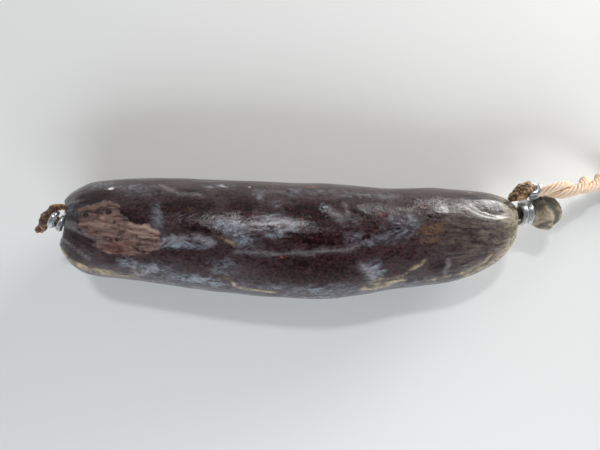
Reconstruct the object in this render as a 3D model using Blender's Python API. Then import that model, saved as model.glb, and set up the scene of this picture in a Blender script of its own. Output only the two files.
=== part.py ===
# A whole blood sausage: a dark filling in a natural casing, closed by bent wire clips,
# with the casing's dried tail at one end and a folded knob and a hanging twine at the other.
# Metres. +X runs along the sausage to the twine, +Z is up, the origin is on the surface below it.

import math

import bpy
import bmesh
from mathutils import Matrix, Vector

MM = 0.001

# Casing and filling
CASING_WALL = 0.4 * MM
GAP = 0.3 * MM                 # left between any two pieces
HEIGHT_TO_WIDTH = 0.955        # a resting sausage is a little flatter than round
SEAT = 0.957                   # centre height over half height: how far the belly is pressed flat
LEAST_CENTRE_HEIGHT = 19.4 * MM
SECTION_POINTS = 32
RINGS_PER_SPAN = 2

# Centre x, centre y and half width of the casing, from the blunt end to the tapered one
BODY_STATIONS = [
    (-104.9, 5.2, 1.5),
    (-104.4, 4.9, 6.8),
    (-103.1, 4.5, 11.6),
    (-100.5, 4.0, 16.0),
    (-96.0, 3.7, 19.2),
    (-90.0, 3.9, 21.2),
    (-78.5, 3.8, 22.3),
    (-61.0, 2.9, 23.6),
    (-43.0, 1.3, 24.5),
    (-21.0, -0.3, 25.2),
    (0.7, -1.4, 25.5),
    (15.0, -1.6, 25.4),
    (29.0, -1.3, 23.9),
    (42.0, -0.6, 22.5),
    (56.0, 0.2, 22.0),
    (67.0, 0.8, 21.0),
    (77.5, 2.0, 18.9),
    (86.5, 3.6, 15.7),
    (92.0, 5.1, 12.5),
    (95.3, 6.9, 9.0),
    (96.7, 8.4, 5.8),
    (97.2, 9.5, 3.0),
    (97.3, 9.9, 1.5),
]

# Clips: place of the ring's centre, heading and elevation of the neck, ring and wire radius,
# and how far the gathered neck runs inwards and outwards from there
LEFT_CLIP = dict(centre=(-102.6, 7.4, 30.2), heading=152, elevation=30, ring=2.9, wire=1.5,
                 inward=6.0, outward=3.0)
RIGHT_CLIP = dict(centre=(100.6, 10.8, 21.0), heading=6, elevation=0, ring=4.3, wire=1.4,
                  inward=8.0, outward=7.0)
LOOP_CLIP = dict(centre=(103.1, 21.0, 24.5), heading=132, elevation=50, ring=2.8, wire=1.3,
                 inward=2.9, outward=4.2)
CLIP_SWEEP = 500               # degrees of wire, so that the two legs lie side by side on top
CLIP_CROSSING = 100            # degrees each way in which the wire moves from one leg's line to the other
CLIP_STEPS = 34

# The funnel in the blunt end, which the left clip sits in
FUNNEL_FLOOR = 3.6 * MM
FUNNEL_INNER = 5.2 * MM
FUNNEL_OUTER = 9.6 * MM
FUNNEL_TOP = 5.0 * MM

# Gathered casing beyond the clips: x, y, z and radius of each point
LEFT_TAIL = [
    (-104.6, 8.5, 31.5, 1.3),
    (-106.0, 9.6, 32.0, 1.4),
    (-107.6, 8.6, 31.0, 1.4),
    (-109.3, 6.4, 29.0, 1.4),
    (-111.2, 4.6, 27.0, 1.35),
    (-113.2, 3.6, 25.7, 1.25),
    (-115.0, 3.1, 25.0, 0.95),
]
LEFT_FOLD = [
    (-106.0, 9.8, 32.0, 1.3),
    (-104.4, 11.6, 32.2, 1.35),
    (-102.2, 12.8, 32.6, 1.3),
    (-99.6, 13.1, 33.6, 1.25),
    (-96.9, 12.4, 34.8, 1.0),
]
LUMEN_RADIUS = 0.5             # the way out from the casing's inside through the left tail
LUMEN_STEPS = (-12.0, -6.0, 0.0)
LUMEN_BEYOND = 0.8             # past the tail's end, as a part of its last span
KNOB_CENTRE = (110.1, 11.2, 20.6)
KNOB_RADII = (7.0, 7.7, 7.2)
STRAP_TO_KNOB = [
    (104.6, 19.3, 21.8, 1.1),
    (106.0, 17.2, 21.6, 1.5),
    (107.8, 14.2, 21.8, 2.2),
]
STUB = [
    (101.3, 23.0, 27.7, 1.1),
    (99.7, 23.4, 29.0, 1.7),
    (97.8, 22.0, 28.7, 2.4),
    (95.6, 20.7, 28.3, 2.3),
    (93.4, 18.8, 27.4, 1.7),
    (91.9, 17.2, 26.6, 1.0),
]

# Twine: two legs laid together, then an open eye, all of one length of twine
TWINE_RADIUS = 2.0 * MM
TWISTED_RADIUS = 4.0 * MM
TWISTED_GROWTH = 0.25          # how fast the twisted pair widens from the clip, for each point
TWINE_ROUTE = [
    (108.4, 20.6, 26.2),
    (112.5, 20.7, 27.0),
    (118.0, 21.3, 26.4),
    (124.0, 22.4, 24.0),
    (131.0, 24.0, 19.6),
    (138.0, 25.4, 14.6),
    (145.0, 26.5, 9.8),
    (152.0, 27.2, 6.2),
    (159.0, 27.5, 4.5),
    (167.0, 27.3, 4.2),
    (177.0, 26.7, 4.2),
]
EYE_LENGTH = 33.0 * MM
EYE_RADIUS = 8.8 * MM
EYE_THROAT = 1.15              # half the gap between the legs where the eye starts, in twine radii
EYE_SETBACK = 0.25             # from the end of the twisted pair, in twine radii
EYE_SIDE_POINTS = 9
EYE_END_POINTS = 13
TWINE_REST_HEIGHT = 2.2 * MM


def clearScene():
    for obj in list(bpy.data.objects):
        bpy.data.objects.remove(obj, do_unlink=True)


def makeCollection(name):
    collection = bpy.data.collections.new(name)
    bpy.context.scene.collection.children.link(collection)
    return collection


def makeMaterial(name, colour, roughness, metallic=0.0):
    material = bpy.data.materials.new(name)
    material.use_nodes = True
    shader = material.node_tree.nodes["Principled BSDF"]
    shader.inputs["Base Color"].default_value = (*colour, 1.0)
    shader.inputs["Roughness"].default_value = roughness
    shader.inputs["Metallic"].default_value = metallic
    return material


def inMetres(point):
    return Vector(point) * MM


def smoothed(points, stepsPerSpan):
    """Points along a Catmull-Rom curve through the given tuples."""
    ends = [points[0]] + list(points) + [points[-1]]
    result = []
    for i in range(1, len(ends) - 2):
        before, start, stop, after = (Vector(p) for p in ends[i - 1:i + 3])
        for step in range(stepsPerSpan):
            t = step / stepsPerSpan
            result.append(0.5 * (2 * start + (stop - before) * t
                                 + (2 * before - 5 * start + 4 * stop - after) * t ** 2
                                 + (3 * start - before - 3 * stop + after) * t ** 3))
    result.append(Vector(points[-1]))
    return result


def neckFrame(clip):
    """Matrix at a clip's centre: X across the neck, Y up, Z out along the neck."""
    heading = math.radians(clip["heading"])
    elevation = math.radians(clip["elevation"])
    out = Vector((math.cos(elevation) * math.cos(heading),
                  math.cos(elevation) * math.sin(heading), math.sin(elevation)))
    up = Vector((-math.sin(elevation) * math.cos(heading),
                 -math.sin(elevation) * math.sin(heading), math.cos(elevation)))
    turned = Matrix((up.cross(out), up, out)).transposed().to_4x4()
    return Matrix.Translation(inMetres(clip["centre"])) @ turned


def addMeshObject(name, bm, collection):
    mesh = bpy.data.meshes.new(name)
    bm.to_mesh(mesh)
    bm.free()
    obj = bpy.data.objects.new(name, mesh)
    collection.objects.link(obj)
    return obj


def bodySection(x, y, halfWidth, inset):
    """One upright ring of the sausage, pressed flat where it meets the surface."""
    halfWidth = max(halfWidth - inset, 0.2 * halfWidth)
    outerHalfHeight = (halfWidth + inset) * HEIGHT_TO_WIDTH
    centreHeight = max(outerHalfHeight * SEAT, LEAST_CENTRE_HEIGHT)
    halfHeight = halfWidth * HEIGHT_TO_WIDTH
    ring = []
    for i in range(SECTION_POINTS):
        angle = 2 * math.pi * i / SECTION_POINTS
        z = centreHeight - halfHeight * math.cos(angle)
        ring.append(Vector((x, y + halfWidth * math.sin(angle), max(z, inset))))
    return ring


def addBodyLoft(name, inset, collection):
    """The sausage's form, drawn in by inset on every side."""
    stations = smoothed(BODY_STATIONS, RINGS_PER_SPAN)
    length = (stations[-1][0] - stations[0][0]) * MM
    middle = (stations[-1][0] + stations[0][0]) / 2 * MM
    shrink = 1 - 2 * inset / length
    bm = bmesh.new()
    rings = []
    for x, y, halfWidth in stations:
        ringX = middle + (x * MM - middle) * shrink
        section = bodySection(ringX, y * MM, halfWidth * MM, inset)
        rings.append([bm.verts.new(point) for point in section])
    for near, far in zip(rings, rings[1:]):
        for i in range(SECTION_POINTS):
            j = (i + 1) % SECTION_POINTS
            bm.faces.new((near[i], far[i], far[j], near[j]))
    bm.faces.new(rings[0])
    bm.faces.new(reversed(rings[-1]))
    bmesh.ops.recalc_face_normals(bm, faces=bm.faces)
    return addMeshObject(name, bm, collection)


def addFunnel(name, margin, collection):
    """A cone that opens outwards along the left neck; margin moves its walls away from the clip."""
    depth = FUNNEL_FLOOR + margin
    length = depth + FUNNEL_TOP
    slope = (FUNNEL_OUTER - FUNNEL_INNER) / (FUNNEL_FLOOR + FUNNEL_TOP)
    bm = bmesh.new()
    bmesh.ops.create_cone(bm, cap_ends=True, segments=24, depth=length,
                          radius1=FUNNEL_INNER + margin,
                          radius2=FUNNEL_INNER + margin + slope * length)
    obj = addMeshObject(name, bm, collection)
    middle = (FUNNEL_TOP - depth) / 2
    obj.matrix_world = neckFrame(LEFT_CLIP) @ Matrix.Translation((0, 0, middle))
    return obj


def addTube(name, points, radii, bevelResolution, collection):
    """A filled tube on a poly spline; points and radii in metres."""
    curve = bpy.data.curves.new(name, "CURVE")
    curve.dimensions = "3D"
    curve.bevel_depth = 1.0 * MM
    curve.bevel_resolution = bevelResolution
    curve.use_fill_caps = True
    spline = curve.splines.new("POLY")
    spline.points.add(len(points) - 1)
    for splinePoint, point, radius in zip(spline.points, points, radii):
        splinePoint.co = (*point, 1.0)
        splinePoint.radius = radius / MM
    obj = bpy.data.objects.new(name, curve)
    collection.objects.link(obj)
    return obj


def toMesh(curveObject, collection):
    """The curve's tube as a welded mesh object, so that a Boolean can use it."""
    depsgraph = bpy.context.evaluated_depsgraph_get()
    mesh = bpy.data.meshes.new_from_object(curveObject.evaluated_get(depsgraph))
    bm = bmesh.new()
    bm.from_mesh(mesh)
    bmesh.ops.remove_doubles(bm, verts=bm.verts, dist=0.00001)
    bmesh.ops.recalc_face_normals(bm, faces=bm.faces)
    bm.to_mesh(mesh)
    bm.free()
    name = curveObject.name
    obj = bpy.data.objects.new(name + "_solid", mesh)
    obj.matrix_world = curveObject.matrix_world
    collection.objects.link(obj)
    bpy.data.objects.remove(curveObject, do_unlink=True)
    obj.name = name
    return obj


def addGathered(name, stations, collection, stepsPerSpan=3):
    """A tail, fold or strap of gathered casing; stations in millimetres with a radius each."""
    path = smoothed(stations, stepsPerSpan)
    points = [Vector(p[:3]) * MM for p in path]
    radii = [p[3] * MM for p in path]
    return toMesh(addTube(name, points, radii, 2, collection), collection)


def addNeck(name, clip, collection):
    """The straight gathered stretch that runs through a clip."""
    frame = neckFrame(clip)
    radius = (clip["ring"] - clip["wire"]) * MM - GAP
    offsets = (-clip["inward"], 0, clip["outward"])
    points = [frame @ Vector((0, 0, offset * MM)) for offset in offsets]
    return toMesh(addTube(name, points, [radius] * len(points), 3, collection), collection)


def combine(target, other, operation):
    modifier = target.modifiers.new(other.name, "BOOLEAN")
    modifier.operation = operation
    modifier.object = other
    modifier.solver = "EXACT"
    other.hide_render = True
    other.display_type = "WIRE"


def makeFilling(parts, cutters):
    filling = addBodyLoft("filling", CASING_WALL + GAP, parts)
    combine(filling, addFunnel("filling_funnel", CASING_WALL + GAP, cutters), "DIFFERENCE")
    filling.data.materials.append(makeMaterial("filling", (0.045, 0.012, 0.015), 0.6))
    return filling


def makeCavity(cutters):
    """The casing's inside: the filling's room, and the narrow way out through the left tail."""
    cavity = addBodyLoft("cavity", CASING_WALL, cutters)
    combine(cavity, addFunnel("cavity_funnel", CASING_WALL, cutters), "DIFFERENCE")
    frame = neckFrame(LEFT_CLIP)
    wayOut = [(*(frame @ Vector((0, 0, step * MM)) / MM), LUMEN_RADIUS) for step in LUMEN_STEPS]
    tail = [(x, y, z, LUMEN_RADIUS) for x, y, z, radius in LEFT_TAIL]
    beyond = Vector(tail[-1]) + (Vector(tail[-1]) - Vector(tail[-2])) * LUMEN_BEYOND
    lumen = addGathered("lumen", wayOut + tail + [tuple(beyond)], cutters, 2)
    combine(cavity, lumen, "UNION")
    return cavity


def makeKnob(cutters):
    bm = bmesh.new()
    bmesh.ops.create_uvsphere(bm, u_segments=20, v_segments=14, radius=1.0)
    knob = addMeshObject("knob", bm, cutters)
    knob.matrix_world = Matrix.Translation(inMetres(KNOB_CENTRE)) @ Matrix.Diagonal(
        (*inMetres(KNOB_RADII), 1.0))
    return knob


def makeCasing(parts, cutters):
    """The skin: its body, the gathered necks, the left tail and fold, the knob, strap and stub."""
    casing = addBodyLoft("casing", 0.0, parts)
    combine(casing, addFunnel("casing_funnel", 0.0, cutters), "DIFFERENCE")
    gathered = [
        addNeck("left_neck", LEFT_CLIP, cutters),
        addNeck("right_neck", RIGHT_CLIP, cutters),
        addNeck("strap_neck", LOOP_CLIP, cutters),
        addGathered("left_tail", LEFT_TAIL, cutters),
        addGathered("left_fold", LEFT_FOLD, cutters),
        makeKnob(cutters),
        addGathered("strap", STRAP_TO_KNOB, cutters),
        addGathered("stub", STUB, cutters),
    ]
    for piece in gathered:
        combine(casing, piece, "UNION")
    combine(casing, makeCavity(cutters), "DIFFERENCE")
    casing.data.materials.append(makeMaterial("casing", (0.16, 0.12, 0.10), 0.35))
    return casing


def makeClip(name, clip, parts, material):
    """A U of wire closed round the neck: one bar below, and its two legs side by side on top."""
    ring = clip["ring"] * MM
    wire = clip["wire"] * MM
    between = 2 * wire + GAP
    points = []
    for i in range(CLIP_STEPS + 1):
        turned = CLIP_SWEEP * (i / CLIP_STEPS - 0.5)
        angle = math.radians(270 + turned)
        slide = max(-1.0, min(1.0, turned / CLIP_CROSSING))
        along = between / 2 * slide * (3 - slide * slide) / 2
        points.append(Vector((ring * math.cos(angle), ring * math.sin(angle), along)))
    obj = addTube(name, points, [wire] * len(points), 2, parts)
    obj.matrix_world = neckFrame(clip)
    obj.data.materials.append(material)
    return obj


def makeTwisted(parts, material):
    """The two twisted legs as one tube of their outer size, thin where they leave the clip."""
    route = smoothed(TWINE_ROUTE, 2)
    points = [Vector(p) * MM for p in route]
    radii = [min(TWISTED_RADIUS, TWINE_RADIUS * (1 + TWISTED_GROWTH * i)) for i in range(len(points))]
    tube = addTube("twine_twisted", points, radii, 3, parts)
    tube.data.materials.append(material)
    return tube


def eyeOutline():
    """Places along and across the eye: a side that eases outwards, a round end, and the side back."""
    throat = TWINE_RADIUS * EYE_THROAT
    straight = EYE_LENGTH - EYE_RADIUS
    side = []
    for i in range(EYE_SIDE_POINTS):
        share = i / EYE_SIDE_POINTS
        eased = (1 - math.cos(math.pi * share)) / 2
        side.append((straight * share, throat + (EYE_RADIUS - throat) * eased))
    end = []
    for i in range(EYE_END_POINTS):
        angle = math.pi * (0.5 - i / (EYE_END_POINTS - 1))
        end.append((straight + EYE_RADIUS * math.cos(angle), EYE_RADIUS * math.sin(angle)))
    return side + end + [(along, -across) for along, across in reversed(side)]


def makeEye(parts, material):
    """The open end of the hanging loop, a teardrop of single twine lying on the surface."""
    end = inMetres(TWINE_ROUTE[-1])
    ahead = (end - inMetres(TWINE_ROUTE[-2])).normalized()
    ahead = Vector((ahead.x, ahead.y, 0)).normalized()
    side = Vector((-ahead.y, ahead.x, 0))
    start = end + ahead * (TWINE_RADIUS * EYE_SETBACK)
    points = []
    for along, across in eyeOutline():
        point = start + ahead * along + side * across
        points.append(Vector((point.x, point.y, TWINE_REST_HEIGHT)))
    tube = addTube("twine_eye", points, [TWINE_RADIUS] * len(points), 2, parts)
    tube.data.materials.append(material)
    return tube


def shadeRound(obj):
    obj.data.shade_smooth()
    obj.data.set_sharp_from_angle(angle=math.radians(35))


def main():
    clearScene()
    parts = makeCollection("blood_sausage")
    cutters = makeCollection("cutters")
    for solid in (makeFilling(parts, cutters), makeCasing(parts, cutters)):
        shadeRound(solid)
    steel = makeMaterial("clip_steel", (0.62, 0.66, 0.68), 0.35, 0.9)
    makeClip("left_clip", LEFT_CLIP, parts, steel)
    makeClip("right_clip", RIGHT_CLIP, parts, steel)
    makeClip("loop_clip", LOOP_CLIP, parts, steel)
    cotton = makeMaterial("twine", (0.80, 0.68, 0.56), 0.85)
    makeTwisted(parts, cotton)
    makeEye(parts, cotton)


main()
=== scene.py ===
import math
import bpy
import bmesh
import numpy as np
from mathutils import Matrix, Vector, noise


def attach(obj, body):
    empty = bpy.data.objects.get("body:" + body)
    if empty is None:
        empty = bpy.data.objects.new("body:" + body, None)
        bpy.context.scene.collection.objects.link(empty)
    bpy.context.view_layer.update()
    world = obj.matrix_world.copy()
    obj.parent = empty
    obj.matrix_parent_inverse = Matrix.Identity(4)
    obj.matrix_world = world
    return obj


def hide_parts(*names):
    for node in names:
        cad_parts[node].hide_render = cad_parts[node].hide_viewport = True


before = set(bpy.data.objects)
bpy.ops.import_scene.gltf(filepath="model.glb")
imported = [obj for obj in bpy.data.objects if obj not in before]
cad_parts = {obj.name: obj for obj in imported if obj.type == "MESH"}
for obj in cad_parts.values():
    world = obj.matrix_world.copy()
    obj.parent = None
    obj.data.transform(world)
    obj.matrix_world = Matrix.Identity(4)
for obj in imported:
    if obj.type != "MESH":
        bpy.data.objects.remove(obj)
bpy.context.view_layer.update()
mm = 0.001
print("frame loaded")


def tint(red, green, blue):
    # a colour from 0 to 255 as it is named for a screen, as the linear values a shader wants
    def linear(value):
        value /= 255
        return value / 12.92 if value <= 0.04045 else ((value + 0.055) / 1.055) ** 2.4
    return (linear(red), linear(green), linear(blue), 1.0)


def throughPoints(points, stepsPerSpan):
    # a Catmull-Rom curve through rows of numbers
    rows = np.array(points, float)
    rows = np.vstack([2 * rows[0] - rows[1], rows, 2 * rows[-1] - rows[-2]])
    made = []
    for i in range(1, len(rows) - 2):
        a, b, c, d = rows[i - 1:i + 3]
        for step in range(stepsPerSpan):
            t = step / stepsPerSpan
            made.append(0.5 * (2 * b + (c - a) * t + (2 * a - 5 * b + 4 * c - d) * t ** 2
                               + (3 * b - a - 3 * c + d) * t ** 3))
    made.append(rows[-2])
    return np.array(made)


def evenly(rows, count):
    # the same curve again, with its points evenly spaced by their first three numbers
    steps = np.linalg.norm(np.diff(rows[:, :3], axis=0), axis=1)
    reach = np.concatenate([[0], np.cumsum(steps)])
    wanted = np.linspace(0, reach[-1], count)
    return np.column_stack([np.interp(wanted, reach, rows[:, k]) for k in range(rows.shape[1])])


def smoothStep(low, high, value):
    t = np.clip((value - low) / (high - low), 0, 1)
    return t * t * (3 - 2 * t)


def noiseAt(points, size, seed=0.0, stretch=(1, 1, 1)):
    # smooth noise from -1 to 1 at each point; size is the width of a lump, in millimetres
    scaled = points / (np.array(stretch) * size)
    return np.array([noise.noise(Vector((p[0] + seed, p[1] - seed, p[2] + 2 * seed)))
                     for p in scaled])


def fractalAt(points, size, seed=0.0, stretch=(1, 1, 1), octaves=4):
    total, weight = 0, 0
    for k in range(octaves):
        total = total + noiseAt(points, size / 2 ** k, seed + 7.3 * k, stretch) / 1.8 ** k
        weight += 1 / 1.8 ** k
    return total / weight


def newObject(name, data):
    made = bpy.data.objects.new(name, data)
    bpy.context.scene.collection.objects.link(made)
    return made


def meshPiece(name, points, faces, material, attributes=None):
    # points in millimetres; attributes are one number for each point
    mesh = bpy.data.meshes.new(name)
    mesh.from_pydata([tuple(p) for p in np.asarray(points) * mm], [], faces)
    for key, values in (attributes or {}).items():
        layer = mesh.attributes.new(key, "FLOAT", "POINT")
        layer.data.foreach_set("value", np.asarray(values, np.float32))
    mesh.materials.append(material)
    mesh.shade_smooth()
    return newObject(name, mesh)


def closedTube(grid):
    # grid[ring, around] of points, closed at each end by a fan round a middle point
    rings, around, _ = grid.shape
    points = np.vstack([grid.reshape(-1, 3), grid[0].mean(axis=0), grid[-1].mean(axis=0)])
    faces = []
    for i in range(rings - 1):
        for j in range(around):
            k = (j + 1) % around
            a, b = i * around, (i + 1) * around
            faces.append((a + j, b + j, b + k, a + k))
    first, last = rings * around, rings * around + 1
    for j in range(around):
        k = (j + 1) % around
        faces.append((first, j, k))
        faces.append((last, (rings - 1) * around + k, (rings - 1) * around + j))
    return points, faces


def gridNormals(grid):
    along = np.gradient(grid, axis=0)
    around = (np.roll(grid, -1, axis=1) - np.roll(grid, 1, axis=1)) / 2
    normal = np.cross(along, around)
    size = np.linalg.norm(normal, axis=2, keepdims=True)
    normal = normal / np.maximum(size, 1e-9)
    normal[0], normal[-1] = normal[1].mean(axis=0), normal[-2].mean(axis=0)
    return normal


def tubeFrames(path):
    # tangent and two sides at each point of a path, turning as little as possible
    tangent = np.gradient(path, axis=0)
    tangent /= np.linalg.norm(tangent, axis=1, keepdims=True)
    side = np.cross(tangent[0], [0, 0, 1.0])
    if np.linalg.norm(side) < 0.2:
        side = np.cross(tangent[0], [0, 1.0, 0])
    sides = []
    for t in tangent:
        side = side - t * np.dot(side, t)
        side /= np.linalg.norm(side)
        sides.append(side)
    sides = np.array(sides)
    return tangent, sides, np.cross(sides, tangent)


def sweptTube(path, wide, high, around):
    # rings of an ellipse along a path; wide and high are one number for each point
    _, side, up = tubeFrames(path)
    angle = np.linspace(0, 2 * math.pi, around, endpoint=False)
    across = np.cos(angle)[None, :, None] * side[:, None, :] * np.asarray(wide)[:, None, None]
    lifted = np.sin(angle)[None, :, None] * up[:, None, :] * np.asarray(high)[:, None, None]
    return path[:, None, :] + across + lifted


class Flow:
    def __init__(self, tree, socket=None):
        self.tree = tree
        self.socket = socket

    def node(self, kind, settings=None, sockets=None, out=0):
        made = self.tree.nodes.new(kind)
        for key, value in (settings or {}).items():
            setattr(made, key, value)
        for key, value in (sockets or {}).items():
            if isinstance(value, Flow):
                self.tree.links.new(value.socket, made.inputs[key])
            else:
                made.inputs[key].default_value = value
        return Flow(self.tree, made.outputs[out])

    def maths(self, operation, first, second=0.0, clamp=False):
        return self.node("ShaderNodeMath", {"operation": operation, "use_clamp": clamp},
                         {0: first, 1: second})

    def __add__(self, other):
        return self.maths("ADD", self, other)

    def __radd__(self, other):
        return self.maths("ADD", other, self)

    def __sub__(self, other):
        return self.maths("SUBTRACT", self, other)

    def __rsub__(self, other):
        return self.maths("SUBTRACT", other, self)

    def __mul__(self, other):
        return self.maths("MULTIPLY", self, other)

    def __truediv__(self, other):
        return self.maths("DIVIDE", self, other)

    def most(self, other):
        return self.maths("MAXIMUM", self, other)

    def kept(self):
        return self.maths("ADD", self, 0.0, clamp=True)

    def between(self, low, high):
        # 0 below low, 1 above high, smooth in between; low may be the larger
        return self.node("ShaderNodeMapRange", {"interpolation_type": "SMOOTHSTEP"},
                         {"Value": self, "From Min": low, "From Max": high})

    def blend(self, first, second):
        # a colour: first where this is 0, second where it is 1
        return self.node("ShaderNodeMix", {"data_type": "RGBA"}, {0: self, 6: first, 7: second}, 2)

    def place(self, size, squash=(1, 1, 1)):
        # the piece's own coordinates, where 1 is size millimetres; squash draws it out by axis
        place = self.node("ShaderNodeTexCoord", out="Object")
        scale = [1 / (size * mm * k) for k in squash]
        return self.node("ShaderNodeVectorMath", {"operation": "MULTIPLY"}, {0: place, 1: scale})

    def noise(self, size, detail=3.0, rough=0.55, distort=0.0, squash=(1, 1, 1)):
        # size is the width of a lump, in millimetres
        return self.node("ShaderNodeTexNoise", sockets={
            "Vector": self.place(size, squash), "Scale": 1.0, "Detail": detail,
            "Roughness": rough, "Distortion": distort}, out="Fac")

    def ridges(self, size, thin, detail=3.0, rough=0.55, distort=0.0, squash=(1, 1, 1)):
        # a net of thin lines, 1 on a line and 0 away from it
        wave = self.noise(size, detail, rough, distort, squash) - 0.5
        return (1 - wave.maths("ABSOLUTE", wave) * thin).kept()

    def cells(self, size):
        # distance from the nearest of scattered points, where 1 is size millimetres
        return self.node("ShaderNodeTexVoronoi", {"feature": "F1"},
                         {"Vector": self.place(size), "Scale": 1.0}, "Distance")

    def marked(self, name):
        # a number that the piece carries at each of its points
        return self.node("ShaderNodeAttribute", {"attribute_name": name}, out="Fac")

    def bumped(self, height, depth, strength):
        # depth is the height of the bump, in millimetres
        return self.node("ShaderNodeBump", sockets={
            "Height": height, "Distance": depth * mm, "Strength": strength})


def newMaterial(name, **plain):
    # an empty material with a Principled shader; plain values go straight on its sockets
    material = bpy.data.materials.new(name)
    material.use_nodes = True
    tree = material.node_tree
    shader = tree.nodes["Principled BSDF"]
    for key, value in plain.items():
        shader.inputs[key.replace("_", " ")].default_value = value
    return material, Flow(tree), shader


def feed(shader, flow, **sockets):
    for key, value in sockets.items():
        flow.tree.links.new(value.socket, shader.inputs[key.replace("_", " ")])


view = {
    "place": (0.7, 5.5, 223.0),   # straight above the sausage
    "lens": 27.0,
    "sensor": 36.0,
    "nearest": 10.0,
}

light = {
    # softboxes: middle and size in millimetres, power in watts; one that isn't mirrored
    # gives light but doesn't show in reflections
    "window": {"place": (640, 620, 190), "size": (480, 300), "power": 11.0,
               "colour": (1.0, 0.98, 0.95), "mirrored": True},
    "skylight": {"place": (-90, 450, 780), "size": (130, 60), "power": 2.4,
                 "colour": (0.95, 0.96, 1.0), "mirrored": True},
    "sky": {"place": (60, -640, 420), "size": (800, 360), "power": 6.4,
            "colour": (0.86, 0.92, 1.0), "mirrored": False},
    "zenith": (0.07, 0.072, 0.078),
    "horizon": (0.62, 0.635, 0.66),
    "horizonTo": 0.1,         # how far up the horizon's colour reaches, where straight up is 1
    "zenithFrom": 0.95,
    "surroundStrength": 0.88,
}

floor = {"size": 3000.0, "colour": tint(216, 215, 211), "roughness": 0.6}


def makeCamera():
    lens = bpy.data.cameras.new("camera")
    lens.lens = view["lens"]
    lens.sensor_width = view["sensor"]
    lens.clip_start = view["nearest"] * mm
    camera = newObject("camera", lens)
    camera.location = Vector(view["place"]) * mm
    bpy.context.scene.camera = camera


def makeLights():
    for name in ("window", "skylight", "sky"):
        settings = light[name]
        lamp = bpy.data.lights.new(name, "AREA")
        lamp.shape = "RECTANGLE"
        lamp.size, lamp.size_y = (side * mm for side in settings["size"])
        lamp.energy = settings["power"]
        lamp.color = settings["colour"]
        holder = newObject(name, lamp)
        place = Vector(settings["place"]) * mm
        holder.location = place
        holder.rotation_euler = (-place).to_track_quat("-Z", "Y").to_euler()
        holder.visible_glossy = settings["mirrored"]
    world = bpy.data.worlds.new("surround")
    world.use_nodes = True
    flow = Flow(world.node_tree)
    background = world.node_tree.nodes["Background"]
    direction = flow.node("ShaderNodeTexCoord", out="Generated")
    height = flow.node("ShaderNodeSeparateXYZ", sockets={0: direction}, out="Z")
    risen = height.between(light["horizonTo"], light["zenithFrom"])
    colour = risen.blend((*light["horizon"], 1.0), (*light["zenith"], 1.0))
    world.node_tree.links.new(colour.socket, background.inputs["Color"])
    background.inputs["Strength"].default_value = light["surroundStrength"]
    bpy.context.scene.world = world
    bpy.context.scene.view_settings.view_transform = "Standard"


def makeFloor():
    mesh = bpy.data.meshes.new("floor")
    bm = bmesh.new()
    bmesh.ops.create_grid(bm, x_segments=1, y_segments=1, size=floor["size"] * mm / 2)
    bm.to_mesh(mesh)
    bm.free()
    material, _, shader = newMaterial("floor", Roughness=floor["roughness"])
    shader.inputs["Base Color"].default_value = floor["colour"]
    mesh.materials.append(material)
    plane = newObject("floor", mesh)


makeCamera()
makeLights()
makeFloor()
print("camera, light and floor made")


clips = {
    # ring and wire are radii; apart is the space between the bars, and bow bends one of them
    "left_clip": {"centre": (-102.6, 7.4, 30.2), "heading": 152, "elevation": 14,
                  "ring": 3.1, "wire": 1.4, "apart": 0.8, "bow": 0.0, "seed": 3.0},
    "right_clip": {"centre": (100.6, 11.0, 21.0), "heading": 6, "elevation": 0,
                   "ring": 4.7, "wire": 1.25, "apart": 0.9, "bow": 1.0, "seed": 11.0},
    "loop_clip": {"centre": (103.1, 21.0, 24.5), "heading": 132, "elevation": 50,
                  "ring": 2.8, "wire": 1.3, "apart": 0.3, "bow": 0.0, "seed": 23.0},
}


def neckAxes(clip):
    # a neck's three directions: across it, up from it and out along it
    heading, elevation = math.radians(clip["heading"]), math.radians(clip["elevation"])
    out = np.array([math.cos(elevation) * math.cos(heading),
                    math.cos(elevation) * math.sin(heading), math.sin(elevation)])
    up = np.array([-math.sin(elevation) * math.cos(heading),
                   -math.sin(elevation) * math.sin(heading), math.cos(elevation)])
    return np.cross(up, out), up, out


twine = {
    "diameter": 4.0,
    # where the twisted pair runs, from the clip down to the surface
    "route": [
        (104.6, 20.4, 23.8), (106.4, 20.5, 25.2), (108.4, 20.6, 26.2), (112.5, 20.7, 27.0),
        (118.0, 21.3, 26.4), (124.0, 22.4, 24.0), (131.0, 24.0, 19.6), (138.0, 25.4, 14.6),
        (145.0, 26.5, 9.8), (152.0, 27.2, 6.2), (159.0, 27.5, 4.5), (167.0, 27.3, 4.2),
        (177.0, 26.7, 4.2),
    ],
    "pitch": 30.0,
    "onTopAt": 4.2,           # millimetres from the clip to where the first leg lies on top
    "pinch": 0.62,            # how far apart the legs are at the clip, as a share of farther on
    "pinchReach": 8.0,
    "throat": 2.3,
    "eyeLength": 33.0,
    "eyeRadius": 8.8,
    "eyeSetback": 0.5,
    "eyeSidePoints": 40,
    "eyeEndPoints": 44,
    "settlePoints": 12,       # points of the eye over which it comes down to its rest height
    "restHeight": 2.2,
    "points": 560,
    "yarns": 6,
    "yarnRadius": 0.66,
    "layRadius": 1.34,
    "layLength": 14.0,
}


def eyeOutline():
    # places along and across the eye: a side that eases outwards, a round end, and the side back
    straight = twine["eyeLength"] - twine["eyeRadius"]
    share = np.linspace(0, 1, twine["eyeSidePoints"])[1:-1]
    eased = (1 - np.cos(math.pi * share)) / 2
    across = twine["throat"] + (twine["eyeRadius"] - twine["throat"]) * eased
    side = np.column_stack([straight * share, across])
    angle = np.linspace(math.pi / 2, -math.pi / 2, twine["eyeEndPoints"])
    end = twine["eyeRadius"] * np.column_stack([np.cos(angle), np.sin(angle)]) + [straight, 0]
    return np.vstack([side, end, side[::-1] * [1, -1]])


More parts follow.
